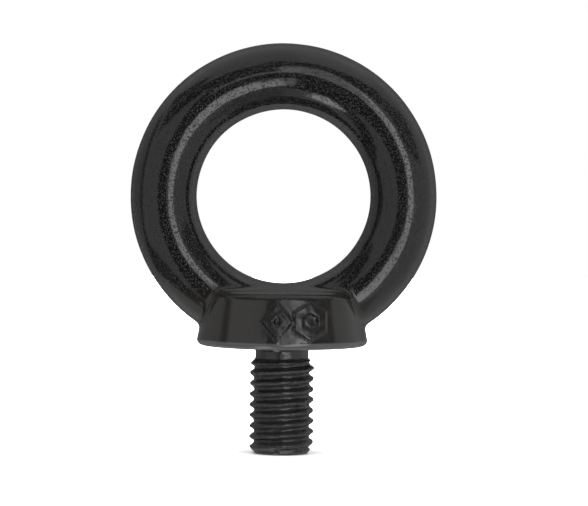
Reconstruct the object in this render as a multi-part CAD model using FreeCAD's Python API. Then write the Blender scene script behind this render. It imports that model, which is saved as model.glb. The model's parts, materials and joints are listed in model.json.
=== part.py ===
import FreeCAD, Part
import math
import os

Vector = FreeCAD.Vector

# A drop-forged lifting eye bolt, size M8, in millimetres.
# The origin is the centre of the collar's flat seating face. +Z runs up the shank's axis to
# the ring, and the ring lies in the XZ plane, so that its eye opens along Y.

up = Vector(0, 0, 1)
along_eye = Vector(0, 1, 0)
origin = Vector(0, 0, 0)

# Driving dimensions: the ring
ring_outer_diameter = 36.1
eye_diameter = 20.45
ring_sink_below_seat = 0.47
flash_width = 1.2
flash_proud = 0.08

# Driving dimensions: the collar
collar_diameter = 20.4
collar_height = 6.6
collar_draft_angle = 11.5
collar_top_rounding = 0.9
collar_bottom_rounding = 0.45
ring_blend = 0.5

# Driving dimensions: the neck and the thread (right-hand, M8 x 1.25)
thread_major_diameter = 7.76
thread_pitch = 1.25
thread_depth = 0.7
thread_crest_flat = 0.2
thread_root_flat = 0.17
thread_crest_height_at_x = -0.16
shank_length = 12.8
neck_length = 1.5
neck_diameter = 6.15
neck_fillet = 0.8
tip_diameter = 6.1

# Driving dimensions: the raised size mark on the collar's front
mark_proud = 0.35
mark_height = 4.2
mark_centre_height = 3.35
mark_side_step = 1.4
mark_stroke = 0.95
mark_gap = 0.3
lozenge_width = 3.5

# Sizes that follow from the driving ones
flash_outer_radius = ring_outer_diameter / 2
flash_inner_radius = eye_diameter / 2
ring_tube_radius = (flash_outer_radius - flash_inner_radius) / 2 - flash_proud
ring_centreline_radius = (flash_outer_radius + flash_inner_radius) / 2
ring_centre_height = flash_outer_radius - ring_sink_below_seat
ring_centre = Vector(0, 0, ring_centre_height)
collar_radius = collar_diameter / 2
collar_slope = math.tan(math.radians(collar_draft_angle))
collar_top_radius = collar_radius - collar_height * collar_slope
thread_crest_radius = thread_major_diameter / 2
thread_root_radius = thread_crest_radius - thread_depth
neck_radius = neck_diameter / 2
thread_start_height = -neck_length
tip_chamfer = thread_crest_radius - tip_diameter / 2
hexagon_width = mark_height * math.cos(math.radians(30))


def edges_at_height(shape, height):
    """The edges that lie flat at one height."""
    tolerance = 1e-4
    flat_edges = []
    for edge in shape.Edges:
        box = edge.BoundBox
        if abs(box.ZMin - height) < tolerance and abs(box.ZMax - height) < tolerance:
            flat_edges.append(edge)
    return flat_edges


def disc_along_eye(radius, width):
    """A cylinder on the ring's axis, centred on the ring's own plane."""
    start = ring_centre - along_eye * (width / 2)
    return Part.makeCylinder(radius, width, start, along_eye)


def make_flash():
    """The narrow land that the trimmed flash leaves around the outside and the inside of the
    ring, where the two dies met."""
    outer_land = disc_along_eye(flash_outer_radius, flash_width)
    eye_hole = disc_along_eye(flash_inner_radius, flash_width)
    return outer_land.cut(eye_hole)


def make_collar():
    """The tapered round collar: its seating face is turned flat, its top edge is rounded."""
    collar = Part.makeCone(collar_radius, collar_top_radius, collar_height, origin, up)
    collar = collar.makeFillet(collar_bottom_rounding, edges_at_height(collar, 0))
    return collar.makeFillet(collar_top_rounding, edges_at_height(collar, collar_height))


def is_on_ring(face):
    """Whether a face is part of the ring's round tube."""
    surface = face.Surface
    if surface.TypeId != "Part::GeomToroid":
        return False
    return abs(surface.MajorRadius - ring_centreline_radius) < 0.01


def make_head():
    """The ring standing in its collar. A forging blend runs along the line where the two meet.
    The lowest part of the ring is left out, because it would only reach through the collar."""
    tube = Part.makeTorus(ring_centreline_radius, ring_tube_radius, ring_centre, along_eye)
    reach = 2 * ring_outer_diameter
    corner = Vector(-reach / 2, -reach / 2, collar_bottom_rounding - reach)
    lowest_part = Part.makeBox(reach, reach, reach, corner)
    head = tube.cut(lowest_part).fuse(make_collar())
    meeting_edges = []
    for edge in head.Edges:
        faces = head.ancestorsOfType(edge, Part.Face)
        if len(faces) == 2 and sum(is_on_ring(face) for face in faces) == 1:
            meeting_edges.append(edge)
    head = head.makeFillet(ring_blend, meeting_edges)
    return head.fuse(make_flash().cut(lowest_part))


def make_neck():
    """The plain neck, flared by a fillet where it meets the seating face, and sunk a little
    into the collar so that the two join."""
    flare_radius = neck_radius + neck_fillet
    corner = Vector(flare_radius, 0, -neck_fillet)
    on_arc = corner + Vector(-math.cos(math.radians(45)), 0, math.sin(math.radians(45))) * neck_fillet
    flare_end = Vector(neck_radius, 0, -neck_fillet)
    points = [
        Vector(neck_radius, 0, thread_start_height - thread_depth),
        Vector(0, 0, thread_start_height - thread_depth),
        Vector(0, 0, neck_fillet),
        Vector(flare_radius, 0, neck_fillet),
        Vector(flare_radius, 0, 0),
    ]
    outline = [Part.makeLine(start, end) for start, end in zip(points, points[1:])]
    outline.append(Part.Arc(points[-1], on_arc, flare_end).toShape())
    outline.append(Part.makeLine(flare_end, points[0]))
    return Part.Face(Part.Wire(outline)).revolve(origin, up, 360)


def make_thread_blank():
    """The shank before threading: chamfered down to the neck at its top and down to the tip."""
    neck_chamfer = thread_crest_radius - neck_radius
    points = [
        Vector(0, 0, thread_start_height),
        Vector(neck_radius, 0, thread_start_height),
        Vector(thread_crest_radius, 0, thread_start_height - neck_chamfer),
        Vector(thread_crest_radius, 0, tip_chamfer - shank_length),
        Vector(tip_diameter / 2, 0, -shank_length),
        Vector(0, 0, -shank_length),
    ]
    outline = Part.makePolygon(points + points[:1])
    return Part.Face(outline).revolve(origin, up, 360)


def make_thread_groove():
    """The V-shaped groove between the crests, swept along a right-hand helix past both ends of
    the blank."""
    half_root = thread_root_flat / 2
    half_mouth = (thread_pitch - thread_crest_flat) / 2
    flank_run = (half_mouth - half_root) / thread_depth
    overcut = 0.1
    mouth_radius = thread_crest_radius + overcut
    half_outer = half_mouth + overcut * flank_run
    turns_below = math.ceil(shank_length / thread_pitch) + 1
    start_height = thread_crest_height_at_x - thread_pitch / 2 - turns_below * thread_pitch
    turns = turns_below + 1 - math.floor(neck_length / thread_pitch)
    points = [
        Vector(thread_root_radius, 0, half_root),
        Vector(mouth_radius, 0, half_outer),
        Vector(mouth_radius, 0, -half_outer),
        Vector(thread_root_radius, 0, -half_root),
    ]
    profile = Part.makePolygon(points + points[:1])
    helix = Part.makeLongHelix(thread_pitch, turns * thread_pitch, thread_root_radius)
    groove = Part.Wire(helix.Edges).makePipeShell([profile], True, True)
    groove.translate(up * start_height)
    return groove


def make_shank():
    """The neck and the threaded shank below it."""
    threaded = make_thread_blank().cut(make_thread_groove())
    return threaded.fuse(make_neck())


def polygon_to_prism(corners):
    """A flat polygon carried from in front of the collar back to its axis."""
    depth = 2 * collar_radius
    face = Part.Face(Part.makePolygon(corners + corners[:1]))
    face.translate(along_eye * -depth)
    return face.extrude(along_eye * depth)


def make_hollow_shape(centre, corners, edge_distance):
    """A polygon with its middle taken out, so that a stroke of even width is left."""
    inner_share = 1 - mark_stroke / edge_distance
    inner_corners = [centre + (corner - centre) * inner_share for corner in corners]
    return polygon_to_prism(corners).cut(polygon_to_prism(inner_corners))


def make_size_mark():
    """Two plain raised outlines forged on the collar's front, a lozenge and a hexagon."""
    total_width = lozenge_width + mark_gap + hexagon_width
    half_width = lozenge_width / 2
    half_height = mark_height / 2
    left_end = mark_side_step - total_width / 2
    lozenge_centre = Vector(left_end + half_width, 0, mark_centre_height)
    hexagon_centre = Vector(left_end + total_width - hexagon_width / 2, 0, mark_centre_height)
    lozenge_corners = [
        lozenge_centre + Vector(-half_width, 0, 0),
        lozenge_centre + Vector(0, 0, -half_height),
        lozenge_centre + Vector(half_width, 0, 0),
        lozenge_centre + Vector(0, 0, half_height),
    ]
    hexagon_corners = []
    for corner_angle in range(30, 360, 60):
        angle = math.radians(corner_angle)
        step = Vector(math.cos(angle), 0, math.sin(angle)) * half_height
        hexagon_corners.append(hexagon_centre + step)
    lozenge_edge_distance = half_width * half_height / math.hypot(half_width, half_height)
    lozenge = make_hollow_shape(lozenge_centre, lozenge_corners, lozenge_edge_distance)
    hexagon = make_hollow_shape(hexagon_centre, hexagon_corners, hexagon_width / 2)
    raised_skin = Part.makeCone(
        collar_radius + mark_proud, collar_top_radius + mark_proud, collar_height, origin, up
    )
    return raised_skin.common(lozenge.fuse(hexagon))


def make_eye_bolt():
    """The whole forging in one piece, as it comes out of the dies and off the lathe."""
    head = make_head().fuse(make_size_mark())
    return head.fuse(make_shank())


os.makedirs("parts", exist_ok=True)
eye_bolt = make_eye_bolt()
eye_bolt.exportStep("parts/eye_bolt.step")
box = eye_bolt.BoundBox
print("valid", eye_bolt.isValid(), "solids", len(eye_bolt.Solids), "faces", len(eye_bolt.Faces))
print("size", round(box.XLength, 2), round(box.YLength, 2), round(box.ZLength, 2))
print("volume", round(eye_bolt.Volume, 1))
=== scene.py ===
import json
import math

import bmesh
import bpy
import numpy as np
from mathutils import Matrix, Vector, noise


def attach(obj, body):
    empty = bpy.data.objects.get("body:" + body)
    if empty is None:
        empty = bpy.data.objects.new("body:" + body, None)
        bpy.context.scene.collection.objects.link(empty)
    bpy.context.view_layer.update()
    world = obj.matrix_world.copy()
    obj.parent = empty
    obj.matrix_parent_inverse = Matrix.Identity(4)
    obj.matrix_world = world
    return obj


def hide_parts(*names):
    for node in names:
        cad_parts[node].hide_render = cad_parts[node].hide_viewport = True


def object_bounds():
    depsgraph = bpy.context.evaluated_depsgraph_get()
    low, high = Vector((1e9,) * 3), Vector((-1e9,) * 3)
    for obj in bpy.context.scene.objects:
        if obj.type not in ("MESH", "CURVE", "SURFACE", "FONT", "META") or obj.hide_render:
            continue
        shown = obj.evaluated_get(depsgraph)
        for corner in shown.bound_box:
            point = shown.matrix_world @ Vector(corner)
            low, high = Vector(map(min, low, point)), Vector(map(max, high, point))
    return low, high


# A drop-forged lifting eye bolt in black gloss paint: one forging, shown as its head and its shank.
# Shapes are worked out in millimetres and brought to metres when a piece is finished.

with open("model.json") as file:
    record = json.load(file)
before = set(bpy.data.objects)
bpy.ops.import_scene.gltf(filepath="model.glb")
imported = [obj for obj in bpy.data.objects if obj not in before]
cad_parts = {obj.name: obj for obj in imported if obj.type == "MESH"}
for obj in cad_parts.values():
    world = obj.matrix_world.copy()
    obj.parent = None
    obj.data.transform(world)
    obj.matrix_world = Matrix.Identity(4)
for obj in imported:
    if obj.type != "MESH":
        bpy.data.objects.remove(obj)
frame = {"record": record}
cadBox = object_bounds()
mm = 0.001
eyeMount = next(mount for mount in frame["record"]["mounts"] if mount["name"] == "eye")
eyeCentre = eyeMount["pos_m"][2] / mm  # height of the ring's centre above the seat
eyeRadius = eyeMount["dims"]["r_mm"]
outerRadius = cadBox[1][0] / mm
print("frame loaded")


def newObject(name, bm):
    # a finished piece in metres, at the origin, shaded smooth
    bmesh.ops.scale(bm, vec=(mm, mm, mm), verts=bm.verts)
    bmesh.ops.recalc_face_normals(bm, faces=bm.faces)
    mesh = bpy.data.meshes.new(name)
    bm.to_mesh(mesh)
    bm.free()
    mesh.polygons.foreach_set("use_smooth", [True] * len(mesh.polygons))
    obj = bpy.data.objects.new(name, mesh)
    bpy.context.scene.collection.objects.link(obj)
    return obj


def linear(hexColour):
    # an sRGB hex colour as linear red, green, blue and alpha
    channels = [int(hexColour[i:i + 2], 16) / 255 for i in (1, 3, 5)]
    levels = [c / 12.92 if c <= 0.04045 else ((c + 0.055) / 1.055) ** 2.4 for c in channels]
    return (*levels, 1.0)


def addNode(tree, kind, settings=None, links=None):
    # settings: node properties or socket values; links: input socket -> output socket
    node = tree.nodes.new(kind)
    for key, value in (settings or {}).items():
        if isinstance(key, int) or key in node.inputs:
            node.inputs[key].default_value = value
        else:
            setattr(node, key, value)
    for key, socket in (links or {}).items():
        tree.links.new(socket, node.inputs[key])
    return node


# The forging's form is a distance in millimetres, below zero inside the steel. Adding its parts
# with rounded joins gives the soft blends that a forging die leaves.

ring = {
    "flashWidth": 1.2,      # trimmed flash land, full width
    "flashProud": 0.08,     # how far the land stands off the round tube
    "flashJoin": 0.12,
    "blend": 0.5,           # radius where the ring runs into the collar
}

collar = {
    "radius": 10.24,        # at the seat
    "height": 6.6,
    "draft": 11.5,          # degrees
    "topRounding": 0.9,
    "bottomRounding": 0.85,
}

mark = {
    "proud": 0.34,
    "height": 4.2,
    "centreHeight": 3.35,
    "lozengeWidth": 3.5,
    "hexagonWidth": 3.64,
    "stroke": 0.95,
    "gap": 0.3,
    "side": 1.4,            # the mark sits a little to one side of the middle
    "backLimit": -4,        # the strokes are cut off here, inside the collar
    "edge": 0.14,
    "foot": 0.08,
    "pits": 0.05,           # the die is worn and pitted round the mark
    "pitSize": 0.8,
    "pitBorder": 0.6,       # how far past the mark the pits reach
}


def roundedJoin(a, b, radius):
    # two solids added, with a fillet of this radius where they meet
    u = np.maximum(radius - a, 0)
    v = np.maximum(radius - b, 0)
    return np.maximum(radius, np.minimum(a, b)) - np.sqrt(u * u + v * v)


def roundedCut(a, b, radius):
    # what two solids have in common, with its edge rounded to this radius
    u = np.maximum(a + radius, 0)
    v = np.maximum(b + radius, 0)
    return np.minimum(-radius, np.maximum(a, b)) + np.sqrt(u * u + v * v)


def ringDistance(p):
    centreline = (outerRadius + eyeRadius) / 2
    tube = (outerRadius - eyeRadius) / 2 - ring["flashProud"]
    fromAxis = np.hypot(p[:, 0], p[:, 2] - eyeCentre)
    tubeDistance = np.hypot(fromAxis - centreline, p[:, 1]) - tube
    acrossLand = np.maximum(fromAxis - outerRadius, eyeRadius - fromAxis)
    land = np.maximum(acrossLand, np.abs(p[:, 1]) - ring["flashWidth"] / 2)
    return roundedJoin(tubeDistance, land, ring["flashJoin"])


def collarSide(p):
    draft = math.radians(collar["draft"])
    fromAxis = np.hypot(p[:, 0], p[:, 1])
    return (fromAxis - collar["radius"]) * math.cos(draft) + p[:, 2] * math.sin(draft)


def markDistance(p):
    # a hollow lozenge and a hollow hexagon, raised off the collar's front
    halfTotal = (mark["lozengeWidth"] + mark["gap"] + mark["hexagonWidth"]) / 2
    lozengeX = mark["side"] - halfTotal + mark["lozengeWidth"] / 2
    hexagonX = mark["side"] + halfTotal - mark["hexagonWidth"] / 2
    up = np.abs(p[:, 2] - mark["centreHeight"])
    halfWidth = mark["lozengeWidth"] / 2
    halfHeight = mark["height"] / 2
    lozenge = np.abs(p[:, 0] - lozengeX) * halfHeight + up * halfWidth - halfWidth * halfHeight
    lozenge = lozenge / math.hypot(halfWidth, halfHeight)
    aside = np.abs(p[:, 0] - hexagonX)
    hexagon = np.maximum(aside, aside / 2 + up * math.sqrt(3) / 2) - mark["hexagonWidth"] / 2
    halfStroke = mark["stroke"] / 2
    strokes = np.minimum(np.abs(lozenge + halfStroke), np.abs(hexagon + halfStroke)) - halfStroke
    outline = np.maximum(strokes, p[:, 1] - mark["backLimit"])
    return roundedCut(outline, collarSide(p) - mark["proud"], mark["edge"])


def headDistance(p):
    tapered = roundedCut(collarSide(p), p[:, 2] - collar["height"], collar["topRounding"])
    body = roundedJoin(ringDistance(p), tapered, ring["blend"])
    body = roundedJoin(body, markDistance(p), mark["foot"])
    return roundedCut(body, -p[:, 2], collar["bottomRounding"])


def settleOnForm(points, distance, rounds):
    # moves each point straight onto the form's surface
    step = 0.01
    for _ in range(rounds):
        here = distance(points)
        slope = np.empty_like(points)
        for axis in range(3):
            ahead, behind = points.copy(), points.copy()
            ahead[:, axis] += step
            behind[:, axis] -= step
            slope[:, axis] = (distance(ahead) - distance(behind)) / (2 * step)
        steepness = np.maximum((slope * slope).sum(axis=1), 0.25)
        points = points - slope * (here / steepness)[:, None]
    return points


head = {
    "cell": 0.215,          # edge length of the skin's faces
    "settleRounds": 6,
    "spare": 0.3,           # the rough collar starts this much too big
    "markFront": -7,        # only faces in front of this are cut finer
    "markBottom": 0.8,
    "markCuts": 2,          # how often each edge is cut again round the mark
    "waver": 0.035,         # how far the forging strays from its die shape
    "waverSize": 5.0,
}


def makeRoughHead():
    # a plain ring standing in a plain cone, remeshed into one skin of even faces
    bm = bmesh.new()
    place = Matrix.Translation(((outerRadius + eyeRadius) / 2, 0, eyeCentre))
    bmesh.ops.create_circle(bm, segments=32, radius=(outerRadius - eyeRadius) / 2, matrix=place)
    bmesh.ops.spin(bm, geom=bm.verts[:] + bm.edges[:], cent=(0, 0, eyeCentre), axis=(0, 1, 0),
                   angle=2 * math.pi, steps=96, use_merge=True)
    topRadius = collar["radius"] - collar["height"] * math.tan(math.radians(collar["draft"]))
    bmesh.ops.create_cone(bm, cap_ends=True, segments=96, depth=collar["height"],
                          radius1=collar["radius"] + head["spare"], radius2=topRadius + head["spare"],
                          matrix=Matrix.Translation((0, 0, collar["height"] / 2)))
    bmesh.ops.recalc_face_normals(bm, faces=bm.faces)
    mesh = bpy.data.meshes.new("roughHead")
    bm.to_mesh(mesh)
    bm.free()
    roughHead = bpy.data.objects.new("roughHead", mesh)
    bpy.context.scene.collection.objects.link(roughHead)
    remesh = roughHead.modifiers.new("skin", "REMESH")
    remesh.mode = "VOXEL"
    remesh.voxel_size = head["cell"] * 1
    depsgraph = bpy.context.evaluated_depsgraph_get()
    skin = bpy.data.meshes.new_from_object(roughHead.evaluated_get(depsgraph))
    bpy.data.objects.remove(roughHead)
    bm = bmesh.new()
    bm.from_mesh(skin)
    return bm


def isByMark(vert):
    place = vert.co
    inFront = place.y < head["markFront"] and place.z > head["markBottom"]
    return inFront and abs(place.x - mark["side"]) < mark["height"]


def roughenHead(bm):
    # the slow waver of the whole forging, and the pits of the worn die round the mark
    bm.normal_update()
    halfAcross = mark["lozengeWidth"] + mark["gap"] / 2 + mark["pitBorder"]
    halfHigh = mark["height"] / 2 + mark["pitBorder"]
    for vert in bm.verts:
        if vert.co.z > collar["bottomRounding"]:
            wave = noise.noise(vert.co / head["waverSize"]) - 0.5
            vert.co += vert.normal * wave * head["waver"]
        aside = abs(vert.co.x - mark["side"]) / halfAcross
        above = abs(vert.co.z - mark["centreHeight"]) / halfHigh
        nearMark = max(0.0, 1.0 - max(aside, above) ** 4)
        if vert.co.y < 0 and nearMark > 0:
            pit = noise.noise(vert.co / mark["pitSize"]) * mark["pits"]
            vert.co += vert.normal * pit * nearMark


def makeHead():
    bm = makeRoughHead()
    edges = [edge for edge in bm.edges if all(isByMark(vert) for vert in edge.verts)]
    bmesh.ops.subdivide_edges(bm, edges=edges, cuts=head["markCuts"], use_grid_fill=True)
    points = np.array([vert.co[:] for vert in bm.verts])
    points = settleOnForm(points, headDistance, head["settleRounds"])
    for vert, point in zip(bm.verts, points):
        vert.co = point
    roughenHead(bm)
    return bm


thread = {
    "pitch": 1.25,
    "crestRadius": 3.8,     # worn crests
    "depth": 0.5,           # paint fills the grooves a little
    "crestFlat": 0.25,
    "rootFlat": 0.25,
    "crestHeightAtX": -0.16,
    "length": 12.8,
    "neckLength": 1.5,
    "neckRadius": 3.15,
    "neckFillet": 0.8,
    "runOut": 0.3,          # height over which the last turn fades into the neck
    "buried": 0.4,          # how far the neck reaches up into the head
    "endTaper": 1.125,      # height over which what lies past an end is drawn in
    "tipRadius": 3.03,
    "wear": 0.13,           # how far the crests are bruised
    "wearSize": 0.42,
    "wearStretch": 1.5,     # the bruises are this much longer round the thread than up it
    "wearLoss": 0.3,        # the bruises take more away than they throw up
    "cleanTip": 0.6,        # the bruises fade out over this height at the tip
    "stepsPerTurn": 120,
    "weld": 0.004,          # points closer than this are merged
}


def blankRadius(z):
    # the shank before threading, at this height
    if z > -thread["neckFillet"]:
        inArc = min(thread["neckFillet"], z + thread["neckFillet"])
        rise = thread["neckFillet"] - math.sqrt(max(thread["neckFillet"] ** 2 - inArc ** 2, 0))
        return thread["neckRadius"] + rise
    if z > -thread["neckLength"]:
        return thread["neckRadius"]
    fromNeck = thread["neckRadius"] - thread["neckLength"] - z
    fromTip = thread["tipRadius"] + z + thread["length"]
    return min(thread["crestRadius"], fromNeck, fromTip)


def wornRadius(x, y, z):
    # where a point of the endless screw belongs on the finished shank, as a distance from its axis
    radius = blankRadius(z)
    if z < thread["runOut"] - thread["neckLength"]:
        radius = min(math.hypot(x, y), radius)
    if z > thread["buried"]:
        past = (z - thread["buried"]) / thread["endTaper"]
        radius = max(0.0, 1 - past) * blankRadius(thread["buried"])
    if z < -thread["length"]:
        past = (-thread["length"] - z) / thread["endTaper"]
        radius = max(0.0, 1 - past) * thread["tipRadius"]
    if z < -thread["neckLength"]:
        aboveTip = min(1.0, max(0.0, (z + thread["length"]) / thread["cleanTip"]))
        place = Vector((x, y, z * thread["wearStretch"])) / thread["wearSize"]
        radius += thread["wear"] * aboveTip * (noise.noise(place) - thread["wearLoss"])
    return radius


def makeShank():
    # one turn's profile is spun into an endless screw, which is then cut down to the shank
    bm = bmesh.new()
    pitch = thread["pitch"]
    rootRadius = thread["crestRadius"] - thread["depth"]
    halfRoot = thread["rootFlat"] / 2
    halfCrest = thread["crestFlat"] / 2
    flank = pitch / 2 - halfRoot - halfCrest
    lowerFlank = [(rootRadius + thread["depth"] * t, halfRoot + flank * t) for t in (0, 0.25, 0.5, 0.75, 1)]
    upperFlank = [(radius, pitch - z) for radius, z in reversed(lowerFlank)]
    profile = [(rootRadius, 0), *lowerFlank, *upperFlank, (rootRadius, pitch)]
    turns = math.ceil(thread["length"] / pitch) + 2
    start = thread["crestHeightAtX"] - pitch / 2 - (turns - 1) * pitch
    verts = [bm.verts.new((radius, 0, start + z)) for radius, z in profile]
    edges = [bm.edges.new(pair) for pair in zip(verts, verts[1:])]
    steps = thread["stepsPerTurn"]
    bmesh.ops.spin(bm, geom=verts + edges, cent=(0, 0, 0), axis=(0, 0, 1), dvec=(0, 0, pitch / steps),
                   angle=2 * math.pi * turns, steps=steps * turns)
    bmesh.ops.remove_doubles(bm, verts=bm.verts, dist=thread["weld"])
    for vert in bm.verts:
        x, y, z = vert.co
        share = wornRadius(x, y, z) / math.hypot(x, y)
        vert.co = (x * share, y * share, max(min(z, thread["buried"]), -thread["length"]))
    bmesh.ops.remove_doubles(bm, verts=bm.verts, dist=thread["weld"])
    bmesh.ops.dissolve_degenerate(bm, dist=0.001, edges=bm.edges)
    bmesh.ops.holes_fill(bm, edges=[edge for edge in bm.edges if edge.is_boundary], sides=0)
    for endHeight in (-thread["length"], thread["buried"]):
        endFaces = [f for f in bm.faces if all(abs(v.co.z - endHeight) < 1e-4 for v in f.verts)]
        bmesh.ops.dissolve_faces(bm, faces=endFaces, use_verts=True)
    bmesh.ops.recalc_face_normals(bm, faces=bm.faces)
    return bm


paint = {
    "colour": "#0a0a0a",
    "roughness": 0.07,
    "collarColour": "#131211",      # dust and rubbed paint where the bolt is handled
    "collarRelief": 0.1,            # share of the ring's roughness that the collar keeps
    "ringFade": (-1.0, 1.5),        # mm from the collar's top, from collar to ring
    "dullColour": "#1c1c1c",        # the thin coat on the thread
    "dullRoughness": 0.19,
    "threadFade": (-0.3, -0.9),     # heights in mm, from the seat to the thread
    "edgeAndReflectionColour": "#2e2e2e",        # the faced edge of the seat, painted lighter as a painted reflection of the pale floor beneath
    "edgeFade": (8.8, 9.3),         # mm from the bolt's axis
    "edgeTopFade": (0.85, 0.7),     # heights in mm
    "markRoughness": 0.26,          # thick paint round the mark is less glossy
    "markFade": (5.4, 2.6),         # mm from the mark's middle
    "markFootFade": (1.2, 1.7),     # heights in mm; the collar's rounded edge stays glossy
    "grain": 0.19,                  # mm across one grain of the forging's scale
    "grainDepth": 0.038,
    "standingGrains": (0.56, 0.74),
    "patch": 4.0,                   # mm across the patches of thicker and thinner scale
    "patchFade": (0.35, 0.6),
    "thinPatch": 0.55,              # share of the grain that is left where the scale is thin
    "orangePeel": 0.9,              # mm across one dimple of the sprayed coat
    "peelDepth": 0.01,
    "swell": 3.0,                   # mm across the forging's low waves
    "swellDepth": 0.035,
    "burr": 0.3,                    # mm along one burr of the thread
    "burrDepth": 0.045,
    "burrStretch": 2,               # burrs are this much longer round the thread than up it
}


def multiply(tree, a, b):
    return addNode(tree, "ShaderNodeMath", {"operation": "MULTIPLY"}, {0: a, 1: b}).outputs["Value"]


def fade(tree, value, start, end, low=0.0, high=1.0, smooth=False):
    # runs from low to high while the value runs from start to end
    settings = {"From Min": start, "From Max": end, "To Min": low, "To Max": high}
    if smooth:
        settings["interpolation_type"] = "SMOOTHSTEP"
    return addNode(tree, "ShaderNodeMapRange", settings, {"Value": value}).outputs["Result"]


def fadeOver(tree, value, span, low=0.0):
    # runs from low to 1 over a span in millimetres
    return fade(tree, value, span[0] * mm, span[1] * mm, low=low)


def mixColour(tree, mask, below, above):
    # below where the mask is 0, above (a hex colour) where it is 1
    settings = {"data_type": "RGBA", 7: linear(above)}
    return addNode(tree, "ShaderNodeMix", settings, {0: mask, 6: below}).outputs[2]


def mixValue(tree, mask, below, above):
    # below where the mask is 0, above (a number) where it is 1
    return addNode(tree, "ShaderNodeMix", {"data_type": "FLOAT", 3: above}, {0: mask, 2: below}).outputs[0]


def addNoise(tree, place, size, detail):
    # cloudy noise with features of this size in millimetres
    settings = {"Scale": 1 / (size * mm), "Detail": detail}
    return addNode(tree, "ShaderNodeTexNoise", settings, {"Vector": place}).outputs["Fac"]


def addBump(tree, height, depth, strength, normal=None):
    links = {"Height": height, "Strength": strength}
    if normal:
        links["Normal"] = normal
    return addNode(tree, "ShaderNodeBump", {"Distance": depth * mm}, links).outputs["Normal"]


def makePaint():
    # black enamel sprayed over scaled, shot-blasted steel: glossy, with highlights broken up by
    # the orange peel of the coat and the grains of scale under it
    material = bpy.data.materials.new("blackGlossEnamel")
    material.use_nodes = True
    tree = material.node_tree
    tree.nodes.clear()
    place = addNode(tree, "ShaderNodeTexCoord").outputs["Object"]
    parts = addNode(tree, "ShaderNodeSeparateXYZ", None, {"Vector": place})
    height = parts.outputs["Z"]

    # the collar, pressed flat in the die, is smoother than the ring
    ringSpan = [collar["height"] + rise for rise in paint["ringFade"]]
    onRing = fadeOver(tree, height, ringSpan, paint["collarRelief"])
    # the thread was cut after forging and has only a thin dull coat
    onThread = fadeOver(tree, height, paint["threadFade"])
    # and so has the edge of the faced seat, whose colour is also made lighter there as a painted reflection
    # of the pale floor beneath
    across = {"X": parts.outputs["X"], "Y": parts.outputs["Y"]}
    sideways = addNode(tree, "ShaderNodeCombineXYZ", None, across)
    radius = addNode(tree, "ShaderNodeVectorMath", {"operation": "LENGTH"}, {0: sideways.outputs["Vector"]})
    atRim = fadeOver(tree, radius.outputs["Value"], paint["edgeFade"])
    onEdgeAndFloorReflection = multiply(tree, atRim, fadeOver(tree, height, paint["edgeTopFade"]))
    # the paint is thicker and blacker round the mark
    markPlace = (mark["side"] * mm, -collar["radius"] * mm, mark["centreHeight"] * mm)
    toMark = addNode(tree, "ShaderNodeVectorMath", {"operation": "DISTANCE", 1: markPlace}, {0: place})
    nearMark = fadeOver(tree, toMark.outputs["Value"], paint["markFade"])
    onMark = multiply(tree, nearMark, fadeOver(tree, height, paint["markFootFade"]))

    # the scale is thick in patches, and only its tallest grains stand through the coat
    patches = addNoise(tree, place, paint["patch"], 2.0)
    patchy = fade(tree, patches, *paint["patchFade"], low=paint["thinPatch"])
    grains = addNoise(tree, place, paint["grain"], 1.0)
    standing = fade(tree, grains, *paint["standingGrains"], smooth=True)
    swell = addNoise(tree, place, paint["swell"], 1.0)
    peel = addNoise(tree, place, paint["orangePeel"], 1.0)
    normal = addBump(tree, swell, paint["swellDepth"], onRing)
    normal = addBump(tree, peel, paint["peelDepth"], onRing, normal)
    normal = addBump(tree, standing, paint["grainDepth"], multiply(tree, patchy, onRing), normal)
    # short dents and burrs along the thread's turns
    settings = {"operation": "MULTIPLY", 1: (1, 1, paint["burrStretch"])}
    flattened = addNode(tree, "ShaderNodeVectorMath", settings, {0: place}).outputs["Vector"]
    burrs = addNoise(tree, flattened, paint["burr"], 2.0)
    normal = addBump(tree, burrs, paint["burrDepth"], onThread, normal)

    clean = addNode(tree, "ShaderNodeMath", {"operation": "MAXIMUM"}, {0: onRing, 1: onMark})
    settings = {"data_type": "RGBA", 6: linear(paint["collarColour"]), 7: linear(paint["colour"])}
    colour = addNode(tree, "ShaderNodeMix", settings, {0: clean.outputs["Value"]}).outputs[2]
    colour = mixColour(tree, onThread, colour, paint["dullColour"])
    # painted reflection: the lower edge of the seat is coloured lighter to stand for the pale floor it
    # would mirror
    colour = mixColour(tree, onEdgeAndFloorReflection, colour, paint["edgeAndReflectionColour"])
    dull = addNode(tree, "ShaderNodeMath", {"operation": "MAXIMUM"}, {0: onThread, 1: onEdgeAndFloorReflection})
    roughness = fade(tree, dull.outputs["Value"], 0, 1, low=paint["roughness"], high=paint["dullRoughness"])
    roughness = mixValue(tree, onMark, roughness, paint["markRoughness"])
    shader = addNode(tree, "ShaderNodeBsdfPrincipled", {"IOR": 1.5, "Specular IOR Level": 0.5},
                     {"Base Color": colour, "Roughness": roughness, "Normal": normal})
    addNode(tree, "ShaderNodeOutputMaterial", None, {"Surface": shader.outputs["BSDF"]})
    return material


print("making the forging")
headObject = newObject("forgedHead", makeHead())
print("head made")
shankObject = newObject("threadedShank", makeShank())
print("shank made")
blackPaint = makePaint()
for piece in (headObject, shankObject):
    piece.data.materials.append(blackPaint)
    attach(piece, "root")
    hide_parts("eye_bolt")
print("painted, faces", len(headObject.data.polygons), len(shankObject.data.polygons))


studio = {
    "floorSize": 0.9,
    "white": "#f6f6f6",
    "overheadSize": 1.6,
    "overheadPlace": (0, -0.1, 1.2),
    "overheadPower": 80,     # watts
    "cameraDistance": 0.42,
    "cameraHeight": 0.0275,
    "aimHeight": 0.01091,
    "aimSide": 0.0013,
    "roll": 0.6,             # degrees
    "viewWidth": 0.06935,    # what the frame takes in at the object
}


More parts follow.
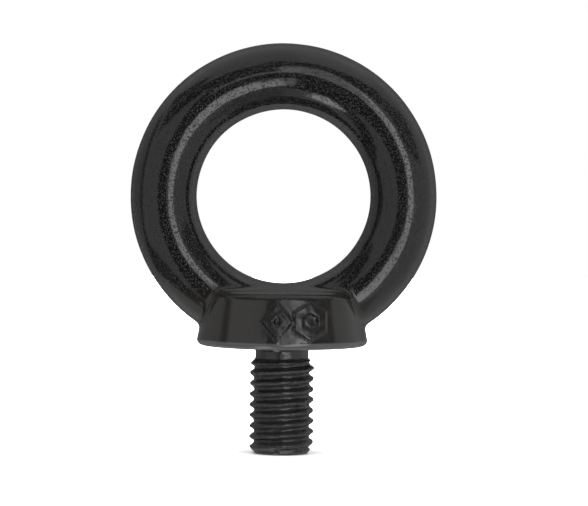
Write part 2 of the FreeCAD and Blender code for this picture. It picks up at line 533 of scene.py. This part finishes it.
def makeFloor():
    bm = bmesh.new()
    bmesh.ops.create_grid(bm, x_segments=1, y_segments=1, size=studio["floorSize"] / 2)
    bmesh.ops.translate(bm, vec=(0, 0, cadBox[0][2]), verts=bm.verts)
    mesh = bpy.data.meshes.new("floor")
    bm.to_mesh(mesh)
    bm.free()
    floor = bpy.data.objects.new("floor", mesh)
    bpy.context.scene.collection.objects.link(floor)
    material = bpy.data.materials.new("whiteMattPaper")
    material.use_nodes = True
    shader = material.node_tree.nodes["Principled BSDF"]
    shader.inputs["Base Color"].default_value = linear(studio["white"])
    shader.inputs["Roughness"].default_value = 0.9
    shader.inputs["Specular IOR Level"].default_value = 0.0
    floor.data.materials.append(material)
    floor.visible_glossy = False  # the paint mirrors the room's light below, not the lit paper


# The room round the object, laid out by the tilt of a surface that mirrors each part of it to the
# front: 0 is face on, 1 is edge on. Each stop is: sideways tilt, light.
roomSides = [
    (-1.0, 0.15),
    (-0.88, 0.3),
    (-0.68, 0.46),
    (-0.6, 0.64),
    (-0.16, 0.66),
    (0.3, 0.58),
    (0.6, 0.66),
    (0.8, 0.78),
    (0.96, 0.85),
    (1.0, 0.6),
]
# Each part is: sideways from and to, upwards from and to, light.
roomParts = [
    (-0.18, 0.10, -0.38, 0.26, 0.0),    # the unlit gap in the middle, where the camera stands
    (-0.72, -0.64, -0.42, 0.42, 0.1),   # the frame of the reflector on the left
    (-0.58, -0.08, 0.26, 0.41, 0.0),    # unlit strips over the two reflectors
    (-0.08, 0.42, 0.27, 0.47, 0.02),
    (-0.60, -0.32, 0.42, 0.53, 0.05),
    (0.32, 0.62, 0.13, 0.42, 0.12),
    (-0.70, -0.12, -0.43, -0.25, 0.04),  # an unlit strip under the left one
    (0.00, 0.35, -0.62, -0.32, 0.33),
    (0.05, 0.45, 0.50, 0.78, 0.8),      # the pale ceiling on the right
]
roomSoftness = 0.05
stripLight = {"inner": 0.148, "outer": 0.30, "soft": 0.03, "light": 3.5}  # bent round the camera
smallLights = [
    (-0.26, -0.12, -0.53, -0.36, 4.0),  # low, on the left
    (0.01, 0.13, -0.30, -0.05, 3.6),    # the lower end of the strip light, where it is broadest
    (0.02, 0.15, 0.12, 0.34, 1.5),      # its upper end, farther away
    (-0.10, 0.02, 0.12, 0.16, 1.8),
    (-0.24, -0.10, -0.80, -0.60, 1.6),  # near the floor, on the left
]
rimLight = {"inner": 0.92, "outer": 2.0, "soft": 0.12, "light": 0.2}  # behind the object


def maskBetween(tree, value, low, high, soft):
    # 1 between low and high, fading to 0 over the soft width on both sides
    rise = fade(tree, value, low - soft / 2, low + soft / 2, smooth=True)
    fall = fade(tree, value, high - soft / 2, high + soft / 2, low=1.0, high=0.0, smooth=True)
    return multiply(tree, rise, fall)


def addParts(tree, level, side, up, parts):
    for left, right, low, high, light in parts:
        across = maskBetween(tree, side, left, right, roomSoftness)
        upright = maskBetween(tree, up, low, high, roomSoftness)
        level = mixValue(tree, multiply(tree, across, upright), level, light)
    return level


def makeRoomLight():
    world = bpy.data.worlds.new("studio")
    world.use_nodes = True
    tree = world.node_tree
    tree.nodes.clear()
    ray = addNode(tree, "ShaderNodeTexCoord").outputs["Generated"]
    halfway = addNode(tree, "ShaderNodeVectorMath", {"operation": "ADD", 1: (0, -1, 0)}, {0: ray})
    tilt = addNode(tree, "ShaderNodeVectorMath", {"operation": "NORMALIZE"}, {0: halfway.outputs["Vector"]})
    parts = addNode(tree, "ShaderNodeSeparateXYZ", None, {"Vector": tilt.outputs["Vector"]})
    side = parts.outputs["X"]
    up = parts.outputs["Z"]
    flat = addNode(tree, "ShaderNodeCombineXYZ", None, {"X": side, "Y": up})
    away = addNode(tree, "ShaderNodeVectorMath", {"operation": "LENGTH"}, {0: flat.outputs["Vector"]})
    away = away.outputs["Value"]
    ramp = addNode(tree, "ShaderNodeValToRGB", None, {"Fac": fade(tree, side, -1.0, 1.0)})
    elements = ramp.color_ramp.elements
    for i, (tiltSideways, light) in enumerate(roomSides):
        stop = elements[i] if i < 2 else elements.new(0.5)
        stop.position = (tiltSideways + 1) / 2
        stop.color = (light, light, light, 1)
    level = addNode(tree, "ShaderNodeSeparateColor", None, {"Color": ramp.outputs["Color"]}).outputs["Red"]
    level = addParts(tree, level, side, up, roomParts)
    bend = maskBetween(tree, away, stripLight["inner"], stripLight["outer"], stripLight["soft"])
    onRight = maskBetween(tree, side, 0.0, 1.0, roomSoftness)
    level = mixValue(tree, multiply(tree, bend, onRight), level, stripLight["light"])
    level = addParts(tree, level, side, up, smallLights)
    behind = maskBetween(tree, away, rimLight["inner"], rimLight["outer"], rimLight["soft"])
    level = mixValue(tree, behind, level, rimLight["light"])
    seen = addNode(tree, "ShaderNodeLightPath").outputs["Is Camera Ray"]
    level = mixValue(tree, seen, level, 1.0)  # plain white behind the object
    light = addNode(tree, "ShaderNodeBackground", {"Color": (1, 1, 1, 1)}, {"Strength": level})
    addNode(tree, "ShaderNodeOutputWorld", None, {"Surface": light.outputs["Background"]})
    bpy.context.scene.world = world


def addOverheadBox():
    light = bpy.data.lights.new("overheadBox", "AREA")
    light.shape = "SQUARE"
    light.size = studio["overheadSize"]
    light.energy = studio["overheadPower"]
    box = bpy.data.objects.new("overheadBox", light)
    box.location = studio["overheadPlace"]
    box.rotation_euler = (-Vector(studio["overheadPlace"])).to_track_quat("-Z", "Y").to_euler()
    box.visible_glossy = False  # the room's light already holds what the paint mirrors
    bpy.context.scene.collection.objects.link(box)


def addCamera():
    camera = bpy.data.cameras.new("camera")
    camera.sensor_width = 36.0
    camera.lens = camera.sensor_width * studio["cameraDistance"] / studio["viewWidth"]
    camera.clip_start = 0.01
    camera.clip_end = 10
    obj = bpy.data.objects.new("camera", camera)
    place = Vector((studio["aimSide"], -studio["cameraDistance"], studio["cameraHeight"]))
    target = Vector((studio["aimSide"], 0, studio["aimHeight"]))
    aim = (target - place).to_track_quat("-Z", "Y").to_matrix().to_4x4()
    roll = Matrix.Rotation(math.radians(studio["roll"]), 4, "Z")
    obj.matrix_world = Matrix.Translation(place) @ aim @ roll
    bpy.context.scene.collection.objects.link(obj)
    bpy.context.scene.camera = obj


makeFloor()
makeRoomLight()
addOverheadBox()
addCamera()
bpy.context.scene.view_settings.view_transform = "Standard"
print("studio set up")
